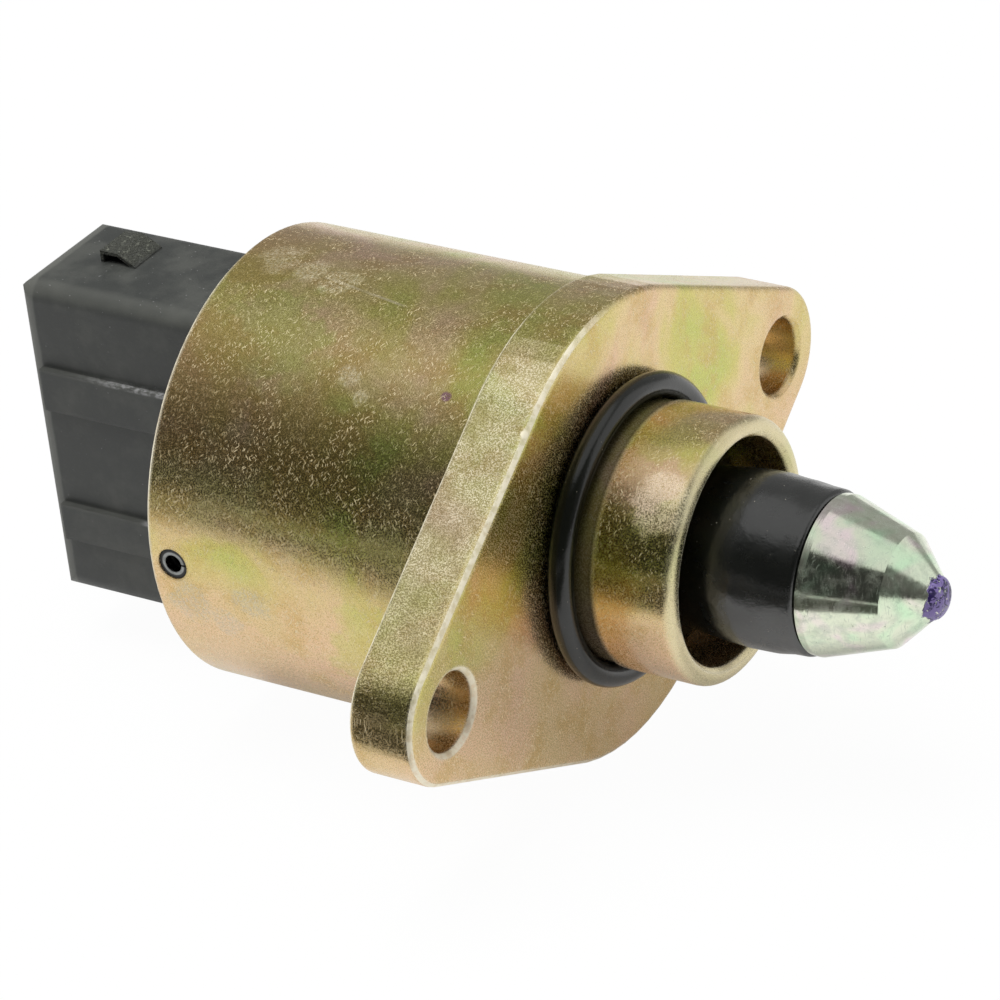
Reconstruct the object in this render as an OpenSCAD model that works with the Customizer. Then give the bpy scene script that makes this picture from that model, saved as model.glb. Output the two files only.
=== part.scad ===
// Idle air control valve: a small stepper motor in a flanged can screws a pintle in and out.
// X runs along the valve towards the pintle and Z is up.
// X = 0 is the flange face that meets the intake, on the axis of the valve.

/* [Motor can] */
// Outer diameter of the motor can
can_d = 32.2; // [32:0.1:36]
// Length of the can behind the mounting face
can_len = 28; // [27.5:0.1:32]
// Wall of the can
can_wall = 1.5; // [1.2:0.1:1.8]
// Bevel round the open rear rim of the can
rim_bevel = 0.25; // [0.1:0.05:0.5]

/* [Flange] */
// Thickness of the mounting flange
flange_t = 4.7; // [4:0.1:7]
// Diameter of the round middle of the flange
flange_d = 33.1; // [33:0.1:38]
// Distance between the two bolt holes
hole_pitch = 45; // [43:0.5:52]
// Diameter of the bolt holes
hole_d = 5.5; // [4.5:0.1:6.5]
// Radius of the rounded ends of the flange
lobe_r = 5; // [4.6:0.1:7]
// Fillet along the front edge of the flange
flange_fillet = 0.5; // [0.2:0.1:1]
// Rounding along the rear edge of the flange
flange_rear_fillet = 0.3; // [0.1:0.05:0.6]
// Bevel at the mouths of the bolt holes
hole_bevel = 0.3; // [0.1:0.05:0.6]
// Turn of the flange about the axis of the valve, in degrees
flange_turn = 3.7; // [0:0.1:30]
// Wall between the nose bore and the motor space
front_wall = 3.5; // [3:0.1:4]

/* [Nose] */
// Outer diameter of the nose
nose_d = 18.5; // [18:0.1:20]
// Length of the nose in front of the flange
nose_len = 8.9; // [7.5:0.1:10]
// Bore through the nose
nose_bore_d = 15.8; // [15.4:0.1:16.4]
// Fillet on the outer front edge of the nose
nose_fillet = 0.8; // [0.2:0.1:1]
// Bevel at the mouth of the nose bore
bore_bevel = 0.3; // [0.1:0.05:0.5]
// Depth of the seal groove at the root of the nose
groove_depth = 0.2; // [0.2:0.05:0.4]
// Gap that the seal ring leaves in its groove
groove_gap = 0.9; // [0.2:0.1:1.2]
// Thickness of the seal ring on the nose
nose_seal_t = 1.8; // [1.5:0.1:2.6]

/* [Pintle] */
// Diameter of the pintle at its base
tip_base_d = 11; // [10:0.1:12]
// Place of the base of the pintle in front of the flange
tip_x = 16; // [15:0.1:18]
// Length of the straight land at the base
tip_land = 0.5; // [0.2:0.1:1]
// Length of the first, shallow cone
cone_1_len = 4.8; // [4:0.1:6]
// Diameter at the end of the first cone
cone_1_d = 7.8; // [6:0.1:8.5]
// Length of the second, steep cone
cone_2_len = 2.3; // [1.5:0.1:3.5]
// Diameter at the end of the second cone
cone_2_d = 3; // [2:0.1:4]
// Height of the domed end
tip_dome = 0.8; // [0.4:0.1:1]
// Travel of the pintle from fully out to fully in
travel = 8; // [4:0.5:8]

/* [Lead screw] */
// Diameter of the lead screw over its thread
screw_d = 4; // [3.5:0.1:4]
// Distance across the two flats of the lead screw
screw_flats = 3.3; // [3:0.05:3.4]
// Diameter of the stub that the pintle is pressed on
stub_d = 3; // [2.4:0.1:3]
// Length of that stub
stub_len = 2.8; // [2:0.1:3.2]

/* [Boot and spring] */
// Wall of the rubber boot
boot_wall = 0.9; // [0.7:0.05:1.2]
// Greatest diameter of the boot
boot_d = 12.1; // [11.5:0.1:12.5]
// Diameter of the waist of the boot inside the nose
boot_waist_d = 10.8; // [10.4:0.1:11.4]
// Thickness of the foot of the boot
boot_foot_t = 1.2; // [0.8:0.1:1.6]
// Wire of the spring round the lead screw
spring_wire = 0.7; // [0.5:0.05:0.8]
// Mean diameter of that spring
spring_d = 6.6; // [6.2:0.1:6.8]
// Turns of that spring
spring_turns = 6; // [4:1:8]

/* [Guide and bearings] */
// Length of the guide in front of the mounting face
guide_front = 3; // [2:0.1:4]
// Outer diameter of the ball bearing
bearing_od = 12; // [11.6:0.1:12.6]
// Bore of the ball bearing
bearing_id = 5.8; // [5.4:0.1:6]
// Width of the ball bearing
bearing_w = 3; // [2.6:0.1:3.2]
// Diameter of the balls
ball_d = 1.8; // [1.5:0.05:1.9]
// Number of balls
ball_count = 8; // [6:1:9]
// Radial thickness of the ball cage
cage_t = 0.5; // [0.3:0.05:0.6]
// Diameter of the rear journal of the rotor
journal_d = 5; // [4:0.1:5.2]
// Outer diameter of the rear bush
bush_od = 8; // [7.4:0.1:9]
// Thickness of the collar of the rear bush
bush_collar_t = 0.4; // [0.3:0.05:0.5]
// Thickness of the thrust washer
washer_t = 0.4; // [0.2:0.05:0.5]
// Thickness of the rear bearing plate
rear_plate_t = 1.2; // [0.8:0.1:1.6]

/* [Motor] */
// Thickness of the pole sheet
pole_t = 0.8; // [0.7:0.05:1]
// Claws on each pole piece
claw_count = 6; // [4:1:6]
// Share of the pitch that a claw takes at its root
claw_root_share = 0.52; // [0.4:0.01:0.54]
// Share of the pitch that a claw takes at its tip
claw_tip_share = 0.3; // [0.2:0.01:0.34]
// Share of the space inside the stator drum that the rotor takes
rotor_share = 0.49; // [0.48:0.005:0.52]
// Air gap between the rotor and the claws
air_gap = 0.3; // [0.2:0.05:0.4]
// Share of the rotor that the bore of its magnet takes
bore_share = 0.64; // [0.62:0.01:0.66]
// Wall of the coil bobbin
bobbin_wall = 0.7; // [0.5:0.05:0.8]
// Gap between the winding and the stator drum
winding_gap = 0.4; // [0.2:0.05:1]

/* [Connector] */
// Height of the connector
con_h = 25.1; // [23.5:0.1:25.6]
// Width of the connector
con_w = 10.5; // [10:0.1:12]
// Reach of the connector behind the can
con_len = 16.7; // [15:0.1:20]
// Rounding of the long edges of the connector
con_edge = 1.4; // [0.6:0.1:1.5]
// Length of the rounding round the rear end of the connector
con_round_len = 1; // [0.5:0.1:1.5]
// Depth of that rounding into the sides
con_round = 0.6; // [0.3:0.1:0.7]
// Wall round the socket
socket_wall = 1.1; // [0.9:0.05:1.3]
// Depth of the socket
socket_depth = 12.2; // [11.6:0.1:13]
// Thickness of the connector base inside the can
base_t = 5.1; // [5:0.1:5.6]
// Inset of the connector base behind the rim of the can
base_inset = 0.4; // [0.2:0.1:0.8]
// Height of the two keying ribs on the side
rib_h = 0.5; // [0.3:0.05:0.8]
// Middle height of the upper rib
rib_upper_z = 4.4; // [3:0.1:5]
// Width of the upper rib
rib_upper_w = 3.3; // [2:0.1:3.5]
// Middle height of the lower rib
rib_lower_z = -6.4; // [-7:0.1:-5]
// Width of the lower rib
rib_lower_w = 2.9; // [2:0.1:3.5]
// Length of the latch nub on the top
latch_len = 2.9; // [2.4:0.1:6]
// Width of the latch nub
latch_w = 3.3; // [2:0.1:4]
// Height of the latch nub
latch_h = 0.9; // [0.5:0.1:1.4]
// Distance of the latch nub from the rear end
latch_inset = 3.8; // [2:0.1:6]
// Offset of the latch nub from the middle of the top
latch_y = 1.1; // [0:0.1:1.6]

/* [Terminals] */
// Distance between neighbouring terminal blades
blade_pitch = 5; // [4.5:0.1:5.2]
// Width of a blade
blade_w = 2.2; // [1.5:0.1:2.8]
// Thickness of a blade
blade_t = 0.64; // [0.5:0.02:0.8]
// Recess of the blade tips behind the mouth of the socket
blade_recess = 5; // [4.9:0.1:6]

/* [Spring pins] */
// Diameter of the spring pins
pin_d = 2.2; // [1.6:0.1:2.4]
// Wall of the rolled pin
pin_wall = 0.45; // [0.3:0.05:0.5]
// Width of the seam of the rolled pin
pin_seam = 0.12; // [0.1:0.02:0.3]
// Length of a spring pin
pin_len = 4; // [3:0.1:5]
// Distance of the pins from the rim of the can
pin_inset = 1.95; // [1.8:0.05:2.2]

/* [Rear seal] */
// Thickness of the seal ring round the connector base
rear_seal_t = 1.6; // [1.2:0.1:1.8]

/* [Hidden] */
$fn = 96;

seat = 0.05;          // clearance of parts that are pushed together
run = 0.05;           // radial clearance of parts that run on each other
slack = 0.1;          // clearance of parts that only lie in place
press = 0.01;         // radial clearance of a pressed stub
snug = 0.02;          // clearance of parts that are moulded or pushed round each other
cut = 1;              // reach of a cutter beyond the solid
arc_steps = 8;        // chords in a quarter fillet
round_steps = 5;      // chords in a quarter of the connector's rounding
terminal_count = 4;
can_r = can_d / 2;
space_r = can_r - can_wall;
flange_r = flange_d / 2;
nose_r = nose_d / 2;
bore_r = nose_bore_d / 2;
groove_r = nose_r - groove_depth;
groove_w = nose_seal_t + groove_gap;
base_rear = -can_len + base_inset;
plate_rear = base_rear + base_t;
stack_rear = plate_rear + rear_plate_t;
stack_front = -front_wall;
unit_len = (stack_front - stack_rear) / 2;
stack_mid = stack_front - unit_len;
con_rear = -can_len - con_len;
drum_r = space_r - seat;
drum_in_r = drum_r - pole_t;
rotor_r = rotor_share * drum_in_r;
magnet_in_r = bore_share * rotor_r;
claw_r = rotor_r + air_gap;
claw_flat = claw_r + slack;
claw_pitch = 2 * PI * (claw_flat + pole_t / 2) / claw_count;
claw_root = claw_root_share * claw_pitch;
claw_tip = claw_tip_share * claw_pitch;
bobbin_len = unit_len - 2 * pole_t;
bobbin_in_r = norm([claw_flat + pole_t, claw_root / 2]) + slack;
core_r = bobbin_in_r + bobbin_wall;
winding_r = drum_in_r - winding_gap;
hub_rear = stack_rear + 3 * slack + washer_t + bush_collar_t;
hub_r = magnet_in_r - seat;
shoulder_h = 0.7;     // rise of the rotor's shoulder over the bore of the bearing
shoulder_r = bearing_id / 2 + shoulder_h;
magnet_front = stack_front - 2 * shoulder_h - 2 * slack;
journal_end = plate_rear - 3 * slack;
hub_floor = 1;        // floor of the bore in the hub of the rotor, in front of the rear plate
relief_end = stack_rear + hub_floor;
screw_r = screw_d / 2;
screw_rear = relief_end + travel + 3 * slack;
nut_share = 0.75;     // share of the reach of the screw behind the face that the nut's thread takes
pitch_r = (bearing_od + bearing_id) / 4;
race_gap = 0.6;
ball_r = ball_d / 2;
latch_wall = 0.25;    // roof over the hollow of the latch nub
latch_hollow = 1.2;
cage_half = bearing_w / 2 - 2.5 * slack;
bearing_mid = stack_front + bearing_w / 2;
bush_collar_r = bush_od / 2 + 1;
boot_top_share = 0.35;    // place of the widest part of the boot, from the nose to the pintle
boot_waist_share = 0.25;  // place of its waist, from its foot to the widest part
boot_swell = 0.25;        // rise of its lip over the base of the pintle
base_r = space_r - seat;
seal_x = plate_rear - rear_seal_t / 2 - 5 * slack;
seal_groove_r = space_r - rear_seal_t - slack;
pin_x = -can_len + pin_inset;
socket_front = con_rear + socket_depth;
blade_rear = con_rear + blade_recess;
blade_front = plate_rear - 10 * slack;

// Points of an arc round a centre, from one angle to the other.
function arc(c, r, a0, a1, n = arc_steps) =
    [for (i = [0:n]) let (a = a0 + (a1 - a0) * i / n) [c[0] + r * cos(a), c[1] + r * sin(a)]];

// Turns local Z into the axis of the valve.
module along_x() rotate([0, 90, 0]) children();

// Solid of revolution from points given as [place along X, radius].
module turned(points) along_x() rotate_extrude() polygon([for (p = points) [p[1], p[0]]]);

// Tube from x0 to x1.
module tube(x0, x1, r_out, r_in) turned([[x0, r_in], [x0, r_out], [x1, r_out], [x1, r_in]]);

// Ring of round section.
module torus(x, r, section) along_x() translate([0, 0, x]) rotate_extrude()
    translate([r, 0]) circle(r = section, $fn = 32);

// Disc of the flange with rounded edges.
module filleted_disc(r) rotate_extrude($fn = 64) polygon(concat(
    [[0, -flange_t]],
    arc([r - flange_rear_fillet, flange_rear_fillet - flange_t], flange_rear_fillet, -90, 0, 4),
    arc([r - flange_fillet, -flange_fillet], flange_fillet, 0, 90, 4),
    [[0, 0]]));

// Flange: a round middle and two lobes joined by straight tangents.
module flange_plate() rotate([flange_turn, 0, 0]) along_x() hull() {
    filleted_disc(flange_r);
    for (side = [-1, 1]) translate([0, side * hole_pitch / 2, 0]) filleted_disc(lobe_r);
}

// Cutter for one bolt hole with bevelled mouths.
module bolt_hole() rotate_extrude() polygon([
    [0, -flange_t - cut], [hole_d / 2 + hole_bevel + cut, -flange_t - cut],
    [hole_d / 2, -flange_t + hole_bevel], [hole_d / 2, -hole_bevel],
    [hole_d / 2 + hole_bevel + cut, cut], [0, cut]]);

// One-piece steel body: can, flange and nose.
module housing() color("#8f8650") difference() {
    union() {
        turned([[-can_len, 0], [-can_len, can_r - rim_bevel], [-can_len + rim_bevel, can_r],
            [-flange_t / 2, can_r], [-flange_t / 2, 0]]);
        flange_plate();
        turned(concat(
            [[-flange_t / 2, 0], [-flange_t / 2, groove_r], [groove_w, groove_r], [groove_w, nose_r]],
            arc([nose_len - nose_fillet, nose_r - nose_fillet], nose_fillet, 90, 0),
            [[nose_len, 0]]));
    }
    turned([[-can_len - cut, 0], [-can_len - cut, space_r], [stack_front, space_r], [stack_front, 0]]);
    turned([[stack_front - cut, 0], [stack_front - cut, bore_r], [nose_len - bore_bevel, bore_r],
        [nose_len + cut, bore_r + bore_bevel + cut], [nose_len + cut, 0]]);
    rotate([flange_turn, 0, 0]) along_x() for (side = [-1, 1])
        translate([0, side * hole_pitch / 2, 0]) bolt_hole();
    for (side = [-1, 1]) translate([pin_x, side * can_r, 0]) rotate([90, 0, 0])
        cylinder(h = 2 * can_wall + 2 * cut, d = pin_d + 2 * seat, center = true, $fn = 48);
}

// Rubber ring round the root of the nose.
module nose_seal() color("#202022")
    torus(slack + nose_seal_t / 2, groove_r + seat + nose_seal_t / 2, nose_seal_t / 2);

// Two-angle metering cone.
module pintle_tip() color("#c9cfc6") difference() {
    x1 = tip_x + tip_land;
    x2 = x1 + cone_1_len;
    x3 = x2 + cone_2_len;
    end_r = cone_2_d / 2;
    turned(concat(
        [[tip_x, 0], [tip_x, tip_base_d / 2], [x1, tip_base_d / 2], [x2, cone_1_d / 2]],
        [for (i = [0:arc_steps]) let (a = 90 * i / arc_steps)
            [x3 + tip_dome * sin(a), end_r * cos(a)]]));
    tube(tip_x - cut, tip_x + stub_len + slack, stub_d / 2 + press, 0);
}

// Section of the lead screw with its two flats, grown by a clearance.
module screw_section(grow = 0) intersection() {
    circle(r = screw_r + grow);
    square([screw_flats + 2 * grow, screw_d + 2], center = true);
}

// Steel lead screw that carries the pintle.
module lead_screw() color("#9c9ea0") {
    along_x() translate([0, 0, screw_rear]) linear_extrude(tip_x - screw_rear) screw_section();
    tube(tip_x - seat, tip_x + stub_len, stub_d / 2, 0);
}

// Rubber boot between the guide and the pintle, thick at its foot and rounded at its lip.
module boot() color("#191a1b") {
    x0 = guide_front;
    lip = boot_wall / 2;
    top = boot_d / 2;
    waist = boot_waist_d / 2;
    end = tip_base_d / 2;
    x_top = nose_len + (tip_x - nose_len) * boot_top_share;
    x_waist = x0 + boot_foot_t + (x_top - x0) * boot_waist_share;
    turned(concat(
        [[x0, waist - boot_wall], [x0, bore_r - 2 * slack], [x0 + boot_foot_t, bore_r - 2 * slack],
            [x0 + boot_foot_t, waist + slack], [x_waist, waist]],
        [for (i = [1:arc_steps]) let (s = i / arc_steps)
            [x_waist + (x_top - x_waist) * s, waist + (top - waist) * (1 - cos(180 * s)) / 2]],
        arc([tip_x - lip - slack, end + boot_swell - lip], lip, 90, 0),
        [[tip_x - slack, end - boot_wall], [x_top, top - boot_wall], [x_waist, waist - boot_wall]]));
}

// Ring of points round the spring wire at angle a of the coil.
function wire_ring(a, x, r, w, sides) = [for (i = [0:sides - 1]) let (t = 360 * i / sides)
    [x + w * sin(t), (r + w * cos(t)) * cos(a), (r + w * cos(t)) * sin(a)]];

// Compression spring that keeps the screw thread free of play.
module pintle_spring() color("#b0b2b4") {
    sides = 8;
    per_turn = 16;
    steps = spring_turns * per_turn;
    w = spring_wire / 2;
    x0 = guide_front + w + slack;
    x1 = tip_x - w - slack;
    points = [for (i = [0:steps]) let (s = i / steps)
        each wire_ring(360 * spring_turns * s, x0 + (x1 - x0) * s, spring_d / 2, w, sides)];
    sides_faces = [for (i = [0:steps - 1], k = [0:sides - 1])
        let (a = i * sides + k, b = i * sides + (k + 1) % sides)
        [a, b, b + sides, a + sides]];
    caps = [[for (k = [sides - 1:-1:0]) k], [for (k = [0:sides - 1]) steps * sides + k]];
    polyhedron(points, concat(sides_faces, caps), convexity = 10);
}

// Guide that stops the lead screw turning and holds the ball bearing.
module shaft_guide() color("#d8d2c0") difference() {
    turned([[stack_front, 0], [stack_front, bore_r - seat],
        [guide_front, bore_r - seat], [guide_front, 0]]);
    turned([[stack_front - cut, 0], [stack_front - cut, bearing_od / 2 + seat],
        [stack_front + bearing_w + slack, bearing_od / 2 + seat],
        [stack_front + bearing_w + slack, pitch_r - race_gap],
        [stack_front + bearing_w + 3 * slack, 0]]);
    along_x() translate([0, 0, stack_front])
        linear_extrude(guide_front - stack_front + cut) screw_section(run);
}

// One ring of the ball bearing with its raceway.
module race(r_out, r_in) difference() {
    tube(stack_front, stack_front + bearing_w, r_out, r_in);
    torus(bearing_mid, pitch_r, ball_r + seat);
}

module bearing_outer_ring() color("#a9abad") race(bearing_od / 2, pitch_r + race_gap);

module bearing_inner_ring() color("#a9abad") race(pitch_r - race_gap, bearing_id / 2);

module bearing_balls() color("#c4c6c8")
    for (i = [0:ball_count - 1]) rotate([360 * i / ball_count, 0, 0])
        translate([bearing_mid, pitch_r, 0]) sphere(r = ball_r, $fn = 32);

module bearing_cage() color("#b09458") difference() {
    tube(bearing_mid - cage_half, bearing_mid + cage_half, pitch_r + cage_t / 2, pitch_r - cage_t / 2);
    for (i = [0:ball_count - 1]) rotate([360 * i / ball_count, 0, 0])
        translate([bearing_mid, pitch_r, 0]) rotate([90, 0, 0])
        cylinder(h = 4 * cage_t, r = ball_r + seat, center = true, $fn = 32);
}

module rotor_magnet() color("#3a3b3e")
    tube(hub_rear + 2 * slack, magnet_front, rotor_r, magnet_in_r);

// Plastic hub of the rotor: nut for the lead screw, bearing seat and rear journal.
module rotor_nut() color("#cfcabb") {
    nut_front = stack_front + bearing_w - 2 * slack;
    nut_back = nut_share * screw_rear;
    sleeve_r = bearing_id / 2 - snug;
    turned([[nut_front, screw_r + run], [nut_front, sleeve_r], [stack_front, sleeve_r],
        [stack_front, shoulder_r], [stack_front - shoulder_h, shoulder_r],
        [stack_front - shoulder_h, hub_r], [hub_rear, hub_r], [hub_rear, journal_d / 2],
        [journal_end, journal_d / 2], [journal_end, 0], [relief_end, 0], [relief_end, screw_r + 3 * slack],
        [nut_back, screw_r + 3 * slack], [nut_back, screw_r + run]]);
}

module rear_bush() color("#a8864a") {
    turned([[plate_rear, journal_d / 2 + run], [plate_rear, bush_od / 2], [stack_rear, bush_od / 2],
        [stack_rear, bush_collar_r], [stack_rear + bush_collar_t, bush_collar_r],
        [stack_rear + bush_collar_t, journal_d / 2 + run]]);
}

module thrust_washer() color("#c9c4b4")
    tube(stack_rear + bush_collar_t + slack, stack_rear + bush_collar_t + slack + washer_t,
        bush_od / 2, journal_d / 2 + 2 * slack);

module rear_plate() color("#9fa1a0") tube(plate_rear, stack_rear, drum_r, bush_od / 2 + seat);

// Ring of flat claws that grow out of the end wall of a pole piece.
module claws(x_wall, dir) {
    x_root = x_wall + dir * pole_t / 2;
    x_tip = x_wall + dir * (unit_len - pole_t - 8 * slack);
    for (i = [0:claw_count - 1]) rotate([360 * i / claw_count, 0, 0]) translate([0, 0, claw_flat])
        linear_extrude(pole_t)
        polygon([[x_root, -claw_root / 2], [x_root, claw_root / 2],
            [x_tip, claw_tip / 2], [x_tip, -claw_tip / 2]]);
}

// Outer pole piece: a drum with an end wall and claws bent inwards.
module cup(x_wall, dir, turn) color("#84878a") rotate([turn, 0, 0]) {
    x_root = x_wall + dir * pole_t;
    x_end = x_wall + dir * unit_len;
    turned([[x_wall, claw_r], [x_wall, drum_r], [x_end, drum_r], [x_end, drum_in_r], [x_root, drum_in_r],
        [x_root, claw_r]]);
    claws(x_wall, dir);
}

// Inner pole piece: a flat ring with claws.
module pole_plate(x_wall, dir, turn) color("#8b8e91") rotate([turn, 0, 0]) {
    x_root = x_wall + dir * pole_t;
    turned([[x_wall, claw_r], [x_wall, drum_in_r - seat], [x_root, drum_in_r - seat], [x_root, claw_r]]);
    claws(x_wall, dir);
}

module front_cup() cup(stack_front, -1, 0);

module front_pole_plate() pole_plate(stack_mid, 1, 180 / claw_count);

module rear_pole_plate() pole_plate(stack_mid, -1, 90 / claw_count);

module rear_cup() cup(stack_rear, 1, 270 / claw_count);

// Coil former between the two pole pieces of a unit.
module bobbin(x0) color("#e3dfd2") difference() {
    tube(x0, x0 + bobbin_len, drum_in_r - slack, bobbin_in_r);
    tube(x0 + bobbin_wall, x0 + bobbin_len - bobbin_wall, drum_in_r + cut, core_r);
}

// Copper wire wound on a former.
module winding(x0) color("#a5562c")
    tube(x0 + bobbin_wall + snug, x0 + bobbin_len - bobbin_wall - snug, winding_r, core_r + snug);

module front_bobbin() bobbin(stack_mid + pole_t);

module rear_bobbin() bobbin(stack_rear + pole_t);

module front_winding() winding(stack_mid + pole_t);

module rear_winding() winding(stack_rear + pole_t);

module rear_seal() color("#232426")
    torus(seal_x, seal_groove_r + seat + rear_seal_t / 2, rear_seal_t / 2);

// Rectangle with rounded corners.
module round_rect(w, h, r) {
    square([w - 2 * r, h], center = true);
    square([w, h - 2 * r], center = true);
    for (x = [-1, 1], y = [-1, 1]) translate([x * (w / 2 - r), y * (h / 2 - r)]) circle(r = r, $fn = 48);
}

// Outline of the connector's side view or top view, rounded at the rear end.
module end_rounding(width, front) {
    h = width / 2;
    quarter = [for (i = [0:round_steps]) let (a = 90 * i / round_steps)
        [con_rear + con_round_len * (1 - cos(a)), h - con_round * (1 - sin(a))]];
    polygon(concat(quarter, [[front, h], [front, -h]],
        [for (i = [round_steps:-1:0]) [quarter[i][0], -quarter[i][1]]]));
}

// Rectangular shell of the connector with rounded long edges.
module shell_block() intersection() {
    front = base_rear + cut;
    along_x() translate([0, 0, con_rear])
        linear_extrude(front - con_rear) round_rect(con_h, con_w, con_edge);
    rotate([90, 0, 0]) linear_extrude(con_w + cut, center = true) end_rounding(con_h, front);
    linear_extrude(con_h + cut, center = true) end_rounding(con_w, front);
}

// Raised keying rib on the near side of the connector.
module rib(z, w) translate([con_rear + con_round_len, -con_w / 2 - rib_h, z - w / 2])
    cube([con_len - con_round_len + base_inset, rib_h + con_edge / 2, w]);

// Side view of the latch nub, shrunk inwards by a wall.
module latch_section(wall) {
    x0 = con_rear + latch_inset;
    z0 = con_h / 2;
    top = latch_h - wall;
    polygon([[x0 + wall, z0 - slack], [x0 + wall, z0 + top], [x0 + latch_len / 2, z0 + top],
        [x0 + latch_len - 2 * wall, z0 + slack], [x0 + latch_len - 2 * wall, z0 - slack]]);
}

// Latch nub: steep at the rear, sloping at the front and hollow on the near side.
module latch() translate([0, latch_y, 0]) rotate([90, 0, 0]) difference() {
    linear_extrude(latch_w, center = true) latch_section(0);
    translate([0, 0, latch_w / 2 - latch_hollow]) linear_extrude(latch_hollow + cut) intersection() {
        latch_section(latch_wall);
        translate([con_rear, con_h / 2]) square([con_len, latch_h]);
    }
}

// Place of terminal i, counted from the top.
function blade_z(i) = ((terminal_count + 1) / 2 - i) * blade_pitch;

// Blade of a terminal from x0 to x1, grown by a clearance.
module blade(i, x0, x1, grow) translate([x0, -blade_t / 2 - grow, blade_z(i) - blade_w / 2 - grow])
    cube([x1 - x0, blade_t + 2 * grow, blade_w + 2 * grow]);

// Moulded end cap with the plug socket.
module connector() color("#333538") difference() {
    union() {
        turned([[base_rear, 0], [base_rear, base_r], [plate_rear, base_r], [plate_rear, 0]]);
        shell_block();
        rib(rib_upper_z, rib_upper_w);
        rib(rib_lower_z, rib_lower_w);
        latch();
    }
    along_x() translate([0, 0, con_rear - cut]) linear_extrude(socket_depth + cut)
        round_rect(con_h - 2 * socket_wall, con_w - 2 * socket_wall, con_edge / 2);
    tube(seal_x - rear_seal_t / 2 - slack, seal_x + rear_seal_t / 2 + slack, base_r + cut, seal_groove_r);
    tube(journal_end - 2 * slack, plate_rear + cut, journal_d / 2 + 3 * slack, 0);
    for (side = [-1, 1]) translate([pin_x, side * can_r, 0]) rotate([90, 0, 0])
        cylinder(h = 2 * (pin_len + 2 * slack), d = pin_d + 2 * seat, center = true, $fn = 48);
    for (i = [1:terminal_count]) blade(i, socket_front - cut, blade_front + seat, snug);
}

// Tinned terminal with a bevelled tip.
module terminal(i) color("#c2c3bd") intersection() {
    blade(i, blade_rear, blade_front, 0);
    translate([0, 0, blade_z(i)]) rotate([90, 0, 0]) linear_extrude(blade_t + cut, center = true) polygon([
        [blade_front, -blade_w / 2], [blade_front, blade_w / 2], [blade_rear + blade_w / 4, blade_w / 2],
        [blade_rear, blade_w / 4], [blade_rear, -blade_w / 4], [blade_rear + blade_w / 4, -blade_w / 2]]);
}

// Rolled spring pin that locks the connector in the can.
module spring_pin(side) color("#8d8f91")
    translate([pin_x, side * (can_r - slack - pin_len / 2), 0]) rotate([90, 0, 0]) difference() {
        cylinder(h = pin_len, d = pin_d, center = true, $fn = 48);
        cylinder(h = pin_len + cut, d = pin_d - 2 * pin_wall, center = true, $fn = 48);
        translate([pin_d / 2, 0, 0]) cube([pin_d, pin_seam, pin_len + cut], center = true);
    }

module spring_pin_near() spring_pin(-1);

module spring_pin_far() spring_pin(1);

housing();
nose_seal();
pintle_tip();
lead_screw();
boot();
pintle_spring();
shaft_guide();
bearing_outer_ring();
bearing_inner_ring();
bearing_balls();
bearing_cage();
rotor_magnet();
rotor_nut();
rear_bush();
thrust_washer();
rear_plate();
front_cup();
front_pole_plate();
rear_pole_plate();
rear_cup();
front_bobbin();
rear_bobbin();
front_winding();
rear_winding();
rear_seal();
connector();
terminal(1);  // terminal_1
terminal(2);  // terminal_2
terminal(3);  // terminal_3
terminal(4);  // terminal_4
spring_pin_near();
spring_pin_far();
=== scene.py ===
"""Dresses the idle air control valve: finishes, soft parts, threads and a plain white studio."""
import logging
import math
import random
from dataclasses import dataclass
from enum import Enum
from functools import reduce
from typing import Sequence

import bmesh
import bpy
from mathutils import Matrix, Vector, noise


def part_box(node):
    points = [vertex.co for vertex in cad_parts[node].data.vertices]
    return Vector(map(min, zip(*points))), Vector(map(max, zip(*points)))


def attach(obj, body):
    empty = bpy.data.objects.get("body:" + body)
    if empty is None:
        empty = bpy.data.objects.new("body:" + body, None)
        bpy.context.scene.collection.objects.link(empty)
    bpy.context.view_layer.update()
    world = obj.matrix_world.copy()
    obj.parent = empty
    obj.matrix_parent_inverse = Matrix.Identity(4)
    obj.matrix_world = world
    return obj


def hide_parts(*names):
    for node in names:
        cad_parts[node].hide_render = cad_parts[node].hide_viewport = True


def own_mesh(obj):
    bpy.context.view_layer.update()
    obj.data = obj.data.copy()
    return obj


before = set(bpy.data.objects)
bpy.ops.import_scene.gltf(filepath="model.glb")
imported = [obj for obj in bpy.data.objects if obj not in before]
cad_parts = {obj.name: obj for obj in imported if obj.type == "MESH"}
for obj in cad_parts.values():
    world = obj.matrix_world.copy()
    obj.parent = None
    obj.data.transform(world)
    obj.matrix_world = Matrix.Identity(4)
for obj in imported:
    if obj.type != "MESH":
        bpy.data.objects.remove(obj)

LOG = logging.getLogger("valve")
MM = 0.001
IN_MM = (1000, 1000, 1000)
PIN_X = -26.05
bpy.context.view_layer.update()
Point = tuple[float, float]
Place = tuple[float, float, float]
Colour = tuple[float, float, float]


class Maths(Enum):
    """Operations of a Math node."""

    ADD = "ADD"
    SUBTRACT = "SUBTRACT"
    MULTIPLY = "MULTIPLY"
    DIVIDE = "DIVIDE"
    POWER = "POWER"
    MAXIMUM = "MAXIMUM"
    MINIMUM = "MINIMUM"
    ABSOLUTE = "ABSOLUTE"
    GREATER = "GREATER_THAN"
    ARCTAN = "ARCTAN2"
    ARCSINE = "ARCSINE"


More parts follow.
